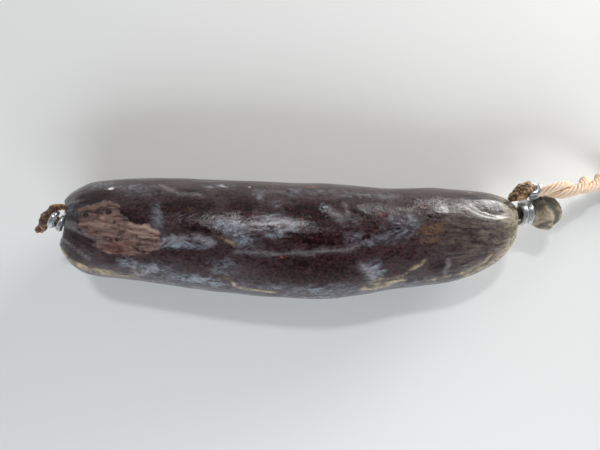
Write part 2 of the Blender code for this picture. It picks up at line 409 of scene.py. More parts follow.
def twinePath():
    # out along one leg, round the eye, and back along the other
    route = evenly(throughPoints(twine["route"], 12), 240)
    tangent = tubeFrames(route)[0]
    reach = np.concatenate([[0], np.cumsum(np.linalg.norm(np.diff(route, axis=0), axis=1))])
    side = np.array([np.cross([0, 0, 1.0], t) for t in tangent])
    side /= np.linalg.norm(side, axis=1, keepdims=True)
    up = np.cross(tangent, side)
    half = twine["diameter"] / 2
    opened = smoothStep(0, twine["pinchReach"], reach)
    apart = half * (twine["pinch"] + (1 - twine["pinch"]) * opened)
    last = 90 + 360 * (reach[-1] - twine["onTopAt"]) / twine["pitch"]
    flat = math.radians(180 * round(last / 180) - last)     # the legs end side by side
    angle = math.pi / 2 - 2 * math.pi * (reach - twine["onTopAt"]) / twine["pitch"]
    angle = angle - flat * smoothStep(reach[-1] * 0.5, reach[-1], reach)
    legs = []
    for turn in (0, math.pi):
        across = np.cos(angle + turn)[:, None] * side + np.sin(angle + turn)[:, None] * up
        legs.append(route + across * apart[:, None])
    outSide = 1 if np.dot(legs[0][-1] - route[-1], side[-1]) > 0 else -1
    ahead = tangent[-1] * [1, 1, 0]
    eye = np.array([route[-1] + ahead * (along + twine["eyeSetback"]) + side[-1] * outSide * across
                    for along, across in eyeOutline()])
    steps = np.arange(len(eye)) / twine["settlePoints"]
    eye[:, 2] = twine["restHeight"] + (route[-1][2] - twine["restHeight"]) * (
        np.exp(-steps) + np.exp(-steps[::-1]))
    whole = np.vstack([legs[0], eye, legs[1][::-1]])
    for _ in range(3):
        whole[1:-1] = (whole[:-2] + 2 * whole[1:-1] + whole[2:]) / 4
    return evenly(whole, twine["points"])


def laidTwineTree(material):
    # Geometry Nodes: yarns laid round the path they follow
    tree = bpy.data.node_groups.new("laidTwine", "GeometryNodeTree")
    face = tree.interface
    face.new_socket("Path", in_out="INPUT", socket_type="NodeSocketGeometry")
    for name in ("Yarn Radius", "Lay Radius", "Lay Length"):
        face.new_socket(name, in_out="INPUT", socket_type="NodeSocketFloat")
    face.new_socket("Yarns", in_out="INPUT", socket_type="NodeSocketInt")
    face.new_socket("Twine", in_out="OUTPUT", socket_type="NodeSocketGeometry")
    flow = Flow(tree)
    given = tree.nodes.new("NodeGroupInput")
    inputs = {s.name: Flow(tree, s) for s in given.outputs if s.name}
    copies = tree.nodes.new("GeometryNodeDuplicateElements")
    copies.domain = "SPLINE"
    tree.links.new(inputs["Path"].socket, copies.inputs["Geometry"])
    tree.links.new(inputs["Yarns"].socket, copies.inputs["Amount"])
    which = Flow(tree, copies.outputs["Duplicate Index"])
    reach = flow.node("GeometryNodeSplineParameter", out="Length")
    turn = which / inputs["Yarns"] - reach / inputs["Lay Length"]
    turn = turn * (2 * math.pi)
    normal = flow.node("GeometryNodeInputNormal")
    tangent = flow.node("GeometryNodeInputTangent")
    other = flow.node("ShaderNodeVectorMath", {"operation": "CROSS_PRODUCT"},
                      {0: tangent, 1: normal})
    sideways, upwards = (
        flow.node("ShaderNodeVectorMath", {"operation": "SCALE"},
                  {0: direction, "Scale": turn.maths(wave, turn) * inputs["Lay Radius"]})
        for direction, wave in ((normal, "COSINE"), (other, "SINE")))
    offset = flow.node("ShaderNodeVectorMath", {"operation": "ADD"}, {0: sideways, 1: upwards})
    moved = flow.node("GeometryNodeSetPosition", sockets={
        "Geometry": Flow(tree, copies.outputs["Geometry"]), "Offset": offset})
    ring = flow.node("GeometryNodeCurvePrimitiveCircle", sockets={
        "Resolution": 8, "Radius": inputs["Yarn Radius"]}, out="Curve")
    tube = flow.node("GeometryNodeCurveToMesh", sockets={
        "Curve": moved, "Profile Curve": ring, "Fill Caps": True})
    real = flow.node("GeometryNodeRealizeInstances", sockets={"Geometry": tube})
    dressed = flow.node("GeometryNodeSetMaterial", sockets={"Geometry": real, "Material": material})
    result = tree.nodes.new("NodeGroupOutput")
    tree.links.new(dressed.socket, result.inputs[0])
    return tree


def plainMeshFrom(holder, name, tree, values):
    # runs a Geometry Nodes tree on an object and keeps its result as a plain mesh
    modifier = holder.modifiers.new(tree.name, "NODES")
    modifier.node_group = tree
    for item in tree.interface.items_tree:
        if item.in_out == "INPUT" and item.name in values:
            modifier[item.identifier] = values[item.name]
    depsgraph = bpy.context.evaluated_depsgraph_get()
    mesh = bpy.data.meshes.new_from_object(holder.evaluated_get(depsgraph))
    bpy.data.objects.remove(holder, do_unlink=True)
    mesh.name = name
    mesh.shade_smooth()
    return newObject(name, mesh)


def twineMaterial():
    material, flow, shader = newMaterial("creamCotton", Roughness=0.85)
    shader.inputs["Sheen Weight"].default_value = 0.05
    soiled = flow.noise(5.0, 3).between(0.42, 0.72)
    fibre = flow.noise(0.5, 4, 0.7)
    shadeOfYarn = flow.noise(1.4, 2).between(0.3, 0.7)
    colour = fibre.between(0.3, 0.7).blend(tint(196, 168, 140), tint(236, 218, 196))
    colour = (shadeOfYarn * 0.5).blend(colour, tint(216, 184, 152))
    colour = (soiled * 0.35).blend(colour, tint(206, 170, 134))
    feed(shader, flow, Base_Color=colour, Normal=flow.bumped(fibre, 0.12, 0.8))
    return material


def makeTwine():
    path = twinePath()
    curve = bpy.data.curves.new("twinePath", "CURVE")
    curve.dimensions = "3D"
    spline = curve.splines.new("POLY")
    spline.points.add(len(path) - 1)
    for point, place in zip(spline.points, path * mm):
        point.co = (*place, 1.0)
    holder = newObject("twinePath", curve)
    piece = plainMeshFrom(holder, "hanging_twine", laidTwineTree(twineMaterial()), {
        "Yarn Radius": twine["yarnRadius"] * mm, "Lay Radius": twine["layRadius"] * mm,
        "Lay Length": twine["layLength"] * mm, "Yarns": twine["yarns"]})
    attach(piece, "root")
    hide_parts("twine_twisted", "twine_eye")
    route = evenly(path, 190) * mm
    length = float(np.linalg.norm(np.diff(route, axis=0), axis=1).sum())
    return length


twineLength = makeTwine()
print("twine made, length in metres:", round(twineLength, 4))


body = {
    # centre x, centre y and half width, from the blunt end to the tapered one
    "stations": [
        (-104.95, 5.3, 0.0), (-104.9, 5.2, 1.5), (-104.4, 4.9, 6.8), (-103.1, 4.5, 11.6),
        (-100.5, 4.0, 16.0), (-96.0, 3.7, 19.2), (-90.0, 3.9, 21.2), (-78.5, 3.8, 22.3),
        (-61.0, 2.9, 23.6), (-43.0, 1.3, 24.5), (-21.0, -0.3, 25.2), (0.7, -1.4, 25.5),
        (15.0, -1.6, 25.4), (29.0, -1.3, 23.9), (42.0, -0.6, 22.5), (56.0, 0.2, 22.0),
        (67.0, 0.8, 21.0), (77.5, 2.0, 18.9), (86.5, 3.6, 15.7), (92.0, 5.1, 12.5),
        (95.3, 6.9, 9.0), (96.7, 8.4, 5.8), (97.2, 9.5, 3.0), (97.3, 9.9, 1.5),
        (97.32, 10.0, 0.0),
    ],
    "evenReach": 16.0,        # millimetres over which the crown's height is evened
    "evenBetween": (76, 50),  # millimetres from the middle: not evened, and fully evened
    "heightToWidth": 0.955,
    "crownDensity": 0.42,
    "seat": 0.957,
    "pressSoftness": 0.25,
    "leastCentreHeight": 19.4,
    "funnelDepth": 5.2,
    "funnelInner": 4.2,
    "funnelOuter": 9.2,
    "funnelReach": 14.0,
}


def bodyGrid(rings, around):
    # points of the sausage's surface, ring by ring, and how far round from the crown each one lies
    profile = evenly(throughPoints(body["stations"], 24), rings)
    turn = np.linspace(0, 2 * math.pi, around, endpoint=False)
    angle = turn + body["crownDensity"] * np.sin(turn)      # points crowd towards the crown
    grid = np.zeros((rings, around, 3))
    arc = np.zeros((rings, around))
    crown = around // 2
    # the crown runs more evenly than the sides do, except towards the ends
    along, wide = profile[:, 0], profile[:, 2]
    near = np.exp(-((along[:, None] - along) / body["evenReach"]) ** 2)
    evened = near @ wide / near.sum(axis=1)
    high = wide + (evened - wide) * smoothStep(*body["evenBetween"], np.abs(along))
    for i, (x, y, halfWidth) in enumerate(profile):
        halfHeight = high[i] * body["heightToWidth"]
        centre = max(halfHeight * body["seat"], body["leastCentreHeight"])
        halfWidth = max(halfWidth, 0.01)
        z = centre - halfHeight * np.cos(angle)
        # pressed flat on the surface below
        z = 0.5 * (z + np.sqrt(z * z + body["pressSoftness"]))
        grid[i] = np.column_stack([np.full(around, x), y - halfWidth * np.sin(angle), z])
        steps = np.linalg.norm(np.diff(grid[i], axis=0), axis=1)
        reach = np.concatenate([[0], np.cumsum(steps)])
        arc[i] = reach - reach[crown]
    return grid, arc


def towardsNeck(points, clip):
    # distance from the neck's axis, angle round it, and place along it
    across, up, out = neckAxes(clip)
    apart = points - np.array(clip["centre"])
    along = apart @ out
    a, b = apart @ across, apart @ up
    return np.hypot(a, b), np.arctan2(b, a), along


def sinkFunnel(points, extra=0.0):
    # draws the blunt end in round the left clip
    out = neckAxes(clips["left_clip"])[2]
    far, _, along = towardsNeck(points, clips["left_clip"])
    depth = body["funnelDepth"] + extra
    depth = depth * (1 - smoothStep(body["funnelInner"], body["funnelOuter"], far))
    depth = depth * (along > -body["funnelReach"])
    return points - depth[:, None] * out


casing = {
    "rings": 416,
    "around": 236,
    # height, size across, and seed of each kind of unevenness
    "lumps": (0.45, 22, 1.0),
    "swells": (0.16, 6.5, 2.0),
    "wrinkles": (0.10, 2.6, 5.0),
    "pleatHeight": 0.5,
    "pleatReach": 10.0,
    "lineHeight": 0.2,
    "crackDepth": 0.125,
    # the flat place near the tapered end: along, round, half length, half width, turn
    "facet": (82.0, 11.2, 11.5, 4.2, -22),
    "facetTilt": (0.10, 0.17),      # rise for each millimetre along, and round
    "facetLimit": 0.9,
    "pressedTo": 1.5,               # the unevenness fades out below this height
}

# where the finishes lie, in millimetres: along the sausage, then round it from the crown
marks = {
    "dryEdge": [(-90.5, 8), (-86, 11), (-81, 11.5), (-74.5, 11.5), (-72.5, 10), (-72, 6.5),
                (-65.5, 3.2), (-59.5, 1.8), (-55.5, 1), (-55, -3), (-54, -5), (-58, -7.5),
                (-63.5, -10.5), (-67.5, -10.5), (-74, -10), (-79.5, -9), (-84, -6.5),
                (-87, -3), (-89, 2)],
    "dryHoles": [(-86.5, 6, 1.3, 0.9), (-82.5, 5, 1.1, 0.8), (-77, 7, 1.7, 1.1),
                 (-84, -4.8, 2.6, 0.8)],
    # pale streaks over the dry patch: painted sheen on it
    "drySheenStrokes": [
        ([(-67, 2.6), (-62, 1.9), (-59, 0.8), (-56, 0.4)], 0.75, 1.0),
        ([(-63.5, -2), (-59.5, -2.2), (-55.5, -2.4)], 0.6, 0.85),
        ([(-82, 3), (-72, 1), (-63.5, -0.8), (-57.5, -1.6)], 0.6, 0.55),
        ([(-88.5, 2.5), (-81, 1.5), (-76, 1.2)], 0.8, 0.5),
        ([(-79.5, 4.6), (-75, 3.6)], 0.9, 0.7),
        ([(-72, -5.6), (-63.5, -6.6), (-57, -5.2)], 0.5, 0.35),
        ([(-84, -1.2), (-74, -3), (-62, -4.2)], 0.5, 0.35)],
    "haze": [
        # along, round, half length, half width, turn, strength
        (-26.5, 3.6, 6.0, 2.6, -4, 0.85), (-22, 0.6, 5.5, 2.4, -10, 0.7), (-12, 8.6, 3.2, 1.6, 0, 0.8),
        (-5, 9.2, 4.5, 1.5, -4, 0.7), (-8, 3.2, 5.5, 1.6, 4, 0.75), (-1.5, 5.6, 1.6, 2.6, 0, 0.7),
        (10.5, 14.2, 1.8, 3.2, 20, 0.8), (21, 9.5, 4.6, 3.6, 0, 0.25), (25, 1.2, 7.0, 2.2, -6, 0.4),
        (42, 6.0, 6.0, 4.6, 18, 0.5), (36, 0.5, 7.0, 1.6, 0, 0.25), (-56.5, 7.5, 2.6, 6.0, 8, 0.42),
        (-51, -1.6, 4.6, 1.3, 3, 0.85), (-46, -3.8, 8.0, 1.3, 3, 0.8), (-37, -2.2, 4.0, 1.2, 0, 0.7),
        (-93, 7.5, 3.6, 4.2, 20, 0.25), (-84, 21.5, 9, 3.0, -5, 0.35), (-66, 19.5, 9, 3.0, 0, 0.45),
        (-33, 25, 5, 1.6, -4, 0.8), (-16, 20, 1.6, 3.5, 0, 0.45), (-8.5, 16, 2.0, 1.4, 0, 0.6),
        (-71, -14.2, 4.6, 2.2, 0, 0.7), (-57, -15.5, 7.0, 2.4, 14, 0.8), (-41, -21.5, 12, 3.6, -6, 0.75),
        (-11, -21.8, 5, 1.6, -4, 0.6), (31.5, -12.2, 2.8, 4.2, 15, 0.8), (-30, -12, 5, 4, 30, 0.35),
        (70, -17, 8, 3, 14, 0.4), (4, 24, 14, 2.5, 0, 0.3), (30, 22, 12, 2.5, 0, 0.35)],
    "lines": [
        # pale threads and folds in the film, then fat, cracks and wet places in the same way:
        # corners, width, strength
        ([(-55, -4.6), (-51, -2.4), (-46.5, -1.2), (-43, -1.3), (-38.5, -0.8), (-35, -2.4)], 0.4, 0.8),
        ([(-24.5, -4.5), (-17, -4.6), (-8, -4.6), (0.5, -3.6), (8.5, -3.4), (18, -2.6), (23, -2)],
         0.35, 0.45),
        ([(-58, 22.5), (-53, 20), (-49, 17.3), (-44, 17.6), (-40, 18.4)], 0.35, 0.4),
        ([(12, 14.5), (14, 12), (17, 10)], 0.35, 0.6),
        ([(19, 16.5), (19.4, 13), (18.6, 11)], 0.35, 0.5),
        ([(-67, -15.3), (-68, -20)], 0.4, 0.8),
        ([(-69.5, -22.6), (-62, -18.5), (-57.5, -16.5)], 0.45, 0.7),
        ([(61.5, -9.5), (62.3, -13), (61.8, -17)], 0.35, 0.5),
        ([(-13.5, 8.5), (-6.5, 9.6), (-1.5, 8)], 0.5, 0.5),
        ([(25.5, -9.5), (28, -13), (31, -17)], 0.5, 0.8), ([(31, -11), (29.5, -15)], 0.4, 0.6),
        ([(85, 6.5), (90, 5.6), (96, 4)], 0.35, 0.6), ([(86, 3.6), (91, 3.2), (95.6, 2)], 0.3, 0.5)],
    "fat": [
        ([(-101, -9), (-97.6, -13.5), (-95, -16.5), (-90, -19), (-85, -20.5), (-79.5, -21.5)], 0.8, 0.7),
        ([(-96, -18), (-88, -21.5), (-80, -23.5), (-69.5, -24)], 0.8, 0.5),
        ([(-29.5, -17), (-27.5, -20), (-25, -23), (-21, -25.2), (-11, -25.6)], 0.5, 0.5),
        ([(-28.5, -1), (-26, -2)], 0.3, 0.4),
        ([(33.5, -17.4), (39.5, -18.5), (43, -15.8), (48, -13), (51.5, -9)], 0.35, 0.5),
        ([(31, -19), (36, -21.4), (43.5, -19)], 0.6, 0.5), ([(28, -23), (37, -23.5)], 0.8, 0.4),
        ([(55.5, -21), (62, -19.5), (70.5, -18), (78, -15.5)], 0.4, 0.5),
        ([(95.6, -1.5), (94.6, -5.5), (91.5, -10.5), (86, -14), (80, -17.5), (73, -21)], 1.0, 0.6),
        ([(80.5, -10.5), (76.5, -15.5), (72, -18)], 0.5, 0.45)],
    "cracks": [
        ([(-102.5, 11), (-99, 18.5), (-94.5, 23.5), (-89.5, 27)], 0.5, 0.9),
        ([(-50, 20.4), (-45, 19.6), (-41, 20.6)], 0.6, 0.7),
        ([(-72, 7.4), (-68, 5.4), (-64, 3.4)], 1.2, 0.8),
        ([(-55, -5.6), (-52.5, -3.6), (-50.5, -2.7)], 0.3, 0.7),
        ([(62, -14.6), (68, -12.4), (74.5, -10.5)], 0.5, 0.6)],
    "clear": [
        # where the dark filling shows cleanly: along, round, half length, half width, turn, strength
        (78, 14.5, 14, 4.6, -16, 1.0), (-86, 14.5, 7, 3.0, 6, 1.0),
        (-43, 12.5, 8, 5, 0, 0.6), (-40, 3.6, 6, 2.2, -6, 0.9),
        (-10.5, 6, 1.3, 1.0, 0, 1.0), (-6.3, 6, 1.4, 1.1, 0, 1.0), (3, 12, 8, 5, 0, 0.9),
        (26, 16, 9, 5, 0, 0.7), (54.5, 11.4, 6, 2.8, -10, 0.9), (6, 1.6, 9, 2.2, 0, 0.8),
        (47, -20.6, 1.6, 1.4, 0, 0.9), (51.5, -20, 1.5, 1.3, 0, 0.8), (57.5, -12.8, 3.2, 2.6, 20, 0.9),
        (-75, -13, 5, 2.0, 0, 0.6), (5, -12, 16, 6, 0, 0.5), (26, 2.3, 0.9, 0.8, 0, 1.0),
        (28.2, 2.8, 0.8, 0.7, 0, 1.0), (-52, 10, 4, 3, 0, 0.5), (-22, 15, 6, 4, 0, 0.5)],
    "wet": [
        ([(-48.5, 7.6), (-43, 7), (-37, 6.6), (-29, 5)], 1.7, 1.0), ([(-35, 3), (-29.5, 2.2)], 1.0, 0.8),
        ([(1, 5.2), (7, 5), (13.5, 5.4)], 1.3, 1.0), ([(50.5, 18), (60, 18), (69, 17.6)], 2.4, 1.0),
        ([(69, 15), (75, 9.8), (83, 7.6), (86, 8.6)], 1.2, 1.0),
        ([(70, 14.5), (79, 12.5), (85, 11.2), (91.5, 8)], 3.4, 1.0),
        ([(-72, 7.5), (-68, 5.5), (-64, 3)], 1.8, 0.7), ([(-60.5, 7.5), (-53, 6.5)], 1.2, 0.6),
        ([(-55, -0.8), (-48, -0.8)], 1.4, 0.6), ([(38, 9), (42, 8), (46, 6.5)], 2.4, 0.5),
        ([(-9, -2.5), (0, -2.5)], 1.2, 0.6), ([(22, 1), (30, 2)], 2.0, 0.45)],
    # small spots: along, round, half length, half width, strength
    "embers": [(-12, 27.4, 1.8, 0.5, 0.8), (-8.4, 27.6, 1.0, 0.4, 0.8), (5.6, 28.4, 2.4, 0.7, 1.0),
               (-6, -5.5, 0.8, 0.8, 0.7), (-34.5, 2.1, 1.0, 0.6, 0.7), (-18, 10, 0.5, 0.5, 0.8),
               (1.5, 9.5, 0.6, 0.5, 0.7), (52, 14.2, 0.7, 0.5, 0.9), (60.5, 30.5, 5.0, 0.6, 0.7),
               (80.6, -10.4, 1.4, 0.8, 0.7), (33.5, 11, 1.6, 1.0, 0.35)],
    "gold": [(-30, 0.1, 0.55, 0.65, 1.0), (-43.5, 10.8, 1.8, 1.1, 0.35), (54, 3, 5.0, 2.4, 0.7),
             (53, -0.8, 4.4, 1.4, 0.6), (57, 5.4, 3.0, 1.2, 0.5)],
    # white specks: the first is a white speck, the two near the far edge are painted highlight glints
    "specks": [(-78.5, 19, 1.25, 0.85, 1.0), (-31.5, 25.2, 0.7, 0.4, 0.9), (-20.5, 26, 0.45, 0.35, 0.8)],
}


# finishes that come in along the sausage or round it: none at the first number, all at the second
comesIn = {"lowHazeAndReflection": (-14, -24), "farHazeAndReflection": (21, 31), "endFilm": (-96, -104), "khaki": (44, 80),
           "tip": (80, 97)}


def spot(plan, x, y, long, short, turn=0.0, edge=0.5):
    # 1 inside an ellipse on the casing, 0 outside it
    turn = math.radians(turn)
    dx, dy = plan[:, 0] - x, plan[:, 1] - y
    a = (dx * math.cos(turn) + dy * math.sin(turn)) / long
    b = (dy * math.cos(turn) - dx * math.sin(turn)) / short
    return 1 - smoothStep(1 - edge, 1 + edge, np.hypot(a, b))


def fromLine(plan, corners):
    # how far each place is from a line of corners
    nearest = np.full(len(plan), 1e9)
    for (ax, ay), (bx, by) in zip(corners, corners[1:]):
        run = np.array([bx - ax, by - ay])
        apart = plan - [ax, ay]
        t = np.clip(apart @ run / (run @ run), 0, 1)
        nearest = np.minimum(nearest, np.hypot(*(apart - t[:, None] * run).T))
    return nearest


def strokes(plan, rows, widen=1.0):
    most = np.zeros(len(plan))
    for corners, width, strength in rows:
        away = fromLine(plan, corners) / (width * widen)
        most = np.maximum(most, strength * np.exp(-away ** 2))
    return most


def spots(plan, rows, edge=0.5):
    most = np.zeros(len(plan))
    for *place, strength in rows:
        most = np.maximum(most, strength * spot(plan, *place, edge=edge))
    return most


def depthInside(plan, corners):
    # how far inside a closed outline each place is; less than 0 outside it
    closed = corners + corners[:1]
    away = fromLine(plan, closed)
    inside = np.zeros(len(plan), bool)
    for (ax, ay), (bx, by) in zip(closed, closed[1:]):
        spans = (ay > plan[:, 1]) != (by > plan[:, 1])
        crossing = ax + (plan[:, 1] - ay) * (bx - ax) / (by - ay if by != ay else 1e-9)
        inside ^= spans & (plan[:, 0] < crossing)
    return np.where(inside, away, -away)


def casingMarks(points, plan, pleat):
    # one number for each point and finish; the shader breaks up their edges
    wide = np.column_stack([noiseAt(points, 6, 3.1), noiseAt(points, 6, 8.7)])
    fine = np.column_stack([noiseAt(points, 1.7, 13.1), noiseAt(points, 1.7, 18.7)])
    there = plan + wide * 1.1 + fine * 0.45
    close = plan + wide * 0.5 + fine * 0.2
    x, arc = plan.T
    torn = np.column_stack([noiseAt(points, 3.4, 23.1), noiseAt(points, 3.4, 28.7)])
    filmAndReflection = spots(there + torn * 1.3, marks["haze"], 0.85)
    # the film along the lower and far sides is partly haze and partly painted reflection of the sky on
    # those sides
    lowSide = smoothStep(*comesIn["lowHazeAndReflection"], arc + 2.5 * wide[:, 0])
    farSide = smoothStep(*comesIn["farHazeAndReflection"], arc + 2.5 * wide[:, 1])
    filmAndReflection = np.maximum(filmAndReflection, 0.5 * lowSide * (1 - 0.4 * smoothStep(0, 12, np.abs(x - 8))))
    filmAndReflection = np.maximum(filmAndReflection, 0.1 * farSide)
    filmAndReflection = np.maximum(filmAndReflection, 0.5 * smoothStep(*comesIn["endFilm"], x + 2 * wide[:, 0]))
    holes = spots(close, [(*row[:4], 0, 1.0) for row in marks["dryHoles"]])
    dry = depthInside(there, marks["dryEdge"]) - 6 * holes
    farther = x + 5 * wide[:, 0] - 0.5 * np.maximum(arc - 6, 0)
    khaki = smoothStep(*comesIn["khaki"], farther)
    pale = 0.8 * strokes(there, marks["lines"], 3.2) + 0.3 * strokes(close, marks["lines"])
    # the pleats' ridges add to pale and their hollows to dark: painted highlight and painted shade on
    # the folds
    pale = pale + np.maximum(pleat, 0)
    fat = 0.85 * strokes(there, marks["fat"], 2.4) + 0.35 * strokes(close, marks["fat"])
    dark = strokes(close, marks["cracks"]) + np.maximum(-pleat, 0)
    ember, gold, speckAndGlint = ([(*row[:4], 0, row[4]) for row in marks[name]]
                          for name in ("embers", "gold", "specks"))
    return {
        "dry": np.clip(dry / 3, -1, 1), "drySheen": strokes(close, marks["drySheenStrokes"]),
        "filmAndReflection": filmAndReflection, "clear": spots(there, marks["clear"], 0.6), "khaki": khaki,
        "fat": np.clip(fat, 0, 1), "pale": np.clip(pale, 0, 1), "dark": np.clip(dark, 0, 1),
        "wet": strokes(there, marks["wet"]), "ember": spots(close, ember), "gold": spots(close, gold),
        "speckAndGlint": spots(plan, speckAndGlint, 0.3), "tip": smoothStep(*comesIn["tip"], x),
    }


def casingMaterial():
    material, flow, shader = newMaterial("naturalCasing", IOR=1.45, Specular_IOR_Level=0.5)
    dry, filmAndReflection, clear, khaki = (flow.marked(name) for name in ("dry", "filmAndReflection", "clear", "khaki"))
    fat, pale, dark, wet = (flow.marked(name) for name in ("fat", "pale", "dark", "wet"))
    grain = flow.noise(1.3, 5, 0.7, 0.4)
    cloud = flow.noise(11.0, 5, 0.6, 0.9, (1.5, 1, 1))
    smoke = flow.noise(4.5, 6, 0.68, 1.4, (1.7, 1, 1))
    threads = flow.ridges(3.2, 9, 5, 0.62, 1.1, (1.8, 1, 1))
    hairs = flow.ridges(1.5, 7, 4, 0.6, 0.8, (2.2, 1, 1))
    streak = flow.noise(1.6, 5, 0.62, 0.3, (7, 1, 1))

    # the filling seen through the skin
    filled = grain.between(0.4, 0.66).blend(tint(15, 4, 8), tint(56, 29, 30))
    deep = grain.between(0.44, 0.7).blend(tint(10, 2, 5), tint(50, 18, 18))
    filled = (clear * 0.8).kept().blend(filled, deep)
    # a thin veil all over, and thicker film in places; along the lower and far sides that film is partly
    # haze and partly painted reflection
    veil = (cloud.between(0.44, 0.66) * 0.2 + threads * 0.22 + hairs * 0.18 - 0.1 - clear * 0.4).kept()
    colour = veil.blend(filled, tint(84, 72, 74))
    wisps = smoke.between(0.4, 0.64) * 0.65 + threads * 0.75 + hairs * 0.55 - 0.12
    thick = (filmAndReflection * wisps - clear * 0.4).kept()
    bluish = smoke.between(0.4, 0.6).blend(tint(70, 72, 79), tint(126, 132, 138))
    colour = (thick * 0.9).kept().blend(colour, bluish)
    # the tapered end, where the skin is drier and thicker
    tip = flow.marked("tip")
    olive = streak.between(0.36, 0.64).blend(tint(44, 38, 38), tint(100, 90, 80))
    olive = (tip * (0.35 + streak.between(0.35, 0.6) * 0.65)).blend(olive, tint(166, 154, 122))
    drier = khaki * (0.25 + smoke.between(0.38, 0.62) * 0.55 + hairs * 0.25)
    over = (drier - clear * 0.6 + tip * 0.35).kept()
    colour = over.blend(colour, olive)
    gilt = (flow.marked("gold") * (grain.between(0.4, 0.62) * 0.7 + hairs * 0.3)).kept()
    colour = gilt.blend(colour, tint(112, 86, 62))
    # the dry patch
    fray = (dry + (streak - 0.5) * 1.1 + (grain - 0.5) * 0.7).between(-0.06, 0.14)
    mottle = (streak * 0.45 + smoke * 0.55).between(0.42, 0.58)
    tan = mottle.blend(tint(36, 17, 14), tint(112, 88, 78))
    tan = (cloud.between(0.5, 0.62) * 0.4).blend(tan, tint(104, 64, 52))
    tan = (grain.between(0.52, 0.7) * 0.5).blend(tan, tint(142, 118, 106))
    # painted sheen: pale streaks on the dry patch
    drySheen = flow.marked("drySheen") * (streak.between(0.3, 0.62) * 0.7 + hairs * 0.3)
    tan = drySheen.kept().blend(tan, tint(176, 148, 132))
    colour = (fray * 0.94).blend(colour, tan)
    # folds, cracks, fat and specks; the pleats' ridges get painted highlight and their hollows painted
    # shade, and two specks are painted highlight glints
    broken = smoke.between(0.38, 0.58)
    paleLinesAndPleatHighlight = (pale * (broken * 0.25 + hairs * 0.7 + threads * 0.5)).kept()
    colour = paleLinesAndPleatHighlight.blend(colour, tint(126, 122, 122))
    laced = (fat * (broken * 0.55 + threads * 0.6 + hairs * 0.5)).kept()
    colour = laced.blend(colour, broken.blend(tint(104, 94, 76), tint(180, 160, 124)))
    colour = (dark * 0.85).kept().blend(colour, tint(14, 7, 9))
    flecks = 1 - flow.cells(5.5).between(0.05, 0.11)
    colour = (flecks * clear.most(0.2) * 0.5).kept().blend(colour, tint(104, 46, 32))
    ember = (flow.marked("ember") * grain.between(0.42, 0.6) * 0.85).kept()
    colour = ember.blend(colour, tint(160, 96, 80))
    # white specks, two of them painted highlight glints
    colour = flow.marked("speckAndGlint").blend(colour, tint(206, 202, 192))

    crinkles = flow.ridges(1.5, 5, 3, 0.6, 1.2, (1.5, 1, 1))
    height = crinkles * (0.04 + wet * 0.12) + grain * 0.07 + threads * 0.08 + laced * 0.4
    sparkle = flow.noise(0.9, 3, 0.6, 0.8).between(0.42, 0.58)
    height = height + fray * (0.2 + streak * 0.5) + sparkle * wet * 0.1
    rough = 0.2 + thick * 0.14 + fray * 0.32 + over * 0.1 + (grain - 0.5) * 0.16
    rough = rough * (1 - wet * 0.7)
    feed(shader, flow, Base_Color=colour, Roughness=rough.kept(),
         Normal=flow.bumped(height, 0.32, 0.9))
    return material


def bodyLumps(points):
    # the broad lumps, which the skin and the filling share
    height, size, seed = casing["lumps"]
    return height * fractalAt(points, size, seed, (1.6, 1, 1), 3)


def makeCasing():
    grid, arc = bodyGrid(casing["rings"], casing["around"])
    rings, around, _ = grid.shape
    points = grid.reshape(-1, 3)
    plan = np.column_stack([points[:, 0], arc.reshape(-1)])
    normal = gridNormals(grid).reshape(-1, 3)
    rise = bodyLumps(points)
    height, size, seed = casing["swells"]
    rise += height * noiseAt(points, size, seed, (1.8, 1, 1))
    height, size, seed = casing["wrinkles"]
    rise += height * fractalAt(points, size, seed, (3.0, 1, 1), 2)
    raisedLines = marks["lines"][1:3]       # the long line near the crown, and one at the far side
    rise += casing["lineHeight"] * strokes(plan, raisedLines)
    rise -= casing["crackDepth"] * strokes(plan, marks["cracks"])
    facet = casing["facet"]
    tilted = (plan - facet[:2]) @ casing["facetTilt"]
    rise += spot(plan, *facet, edge=0.3) * np.clip(tilted, -casing["facetLimit"], casing["facetLimit"])
    # the pleats again, for the colour alone: painted highlight on their ridges and painted shade in
    # their hollows
    folds = np.zeros(len(points))
    for name in ("left_clip", "right_clip"):
        far, turn, along = towardsNeck(points, clips[name])
        ring = np.column_stack([np.cos(turn) * 3.4, np.sin(turn) * 3.4, far * 0.05])
        pleat = fractalAt(ring, 1.0, clips[name]["seed"], octaves=3) * 1.4
        fade = np.exp(-np.maximum(far - 3, 0) / casing["pleatReach"]) * (along > -20)
        fade = fade * smoothStep(0, 3, far)
        rise += casing["pleatHeight"] * pleat * fade
        folds += np.clip(pleat * 2.2, -1, 1) * np.sqrt(fade) * smoothStep(26, 12, far)
    held = smoothStep(0.0, casing["pressedTo"], points[:, 2])
    values = casingMarks(points, plan, folds)
    points = points + normal * (rise * held)[:, None]
    points = sinkFunnel(points)
    points[:, 2] = np.maximum(points[:, 2], 0.02)
    closed, faces = closedTube(points.reshape(rings, around, 3))
    values = {key: np.append(value, [value[0], value[-1]]) for key, value in values.items()}
    piece = meshPiece("casing_skin", closed, faces, casingMaterial(), values)
    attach(piece, "root")
    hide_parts("casing")


makeCasing()
print("casing made")


filling = {"rings": 200, "around": 140, "inset": 0.8, "endInset": 2.4}


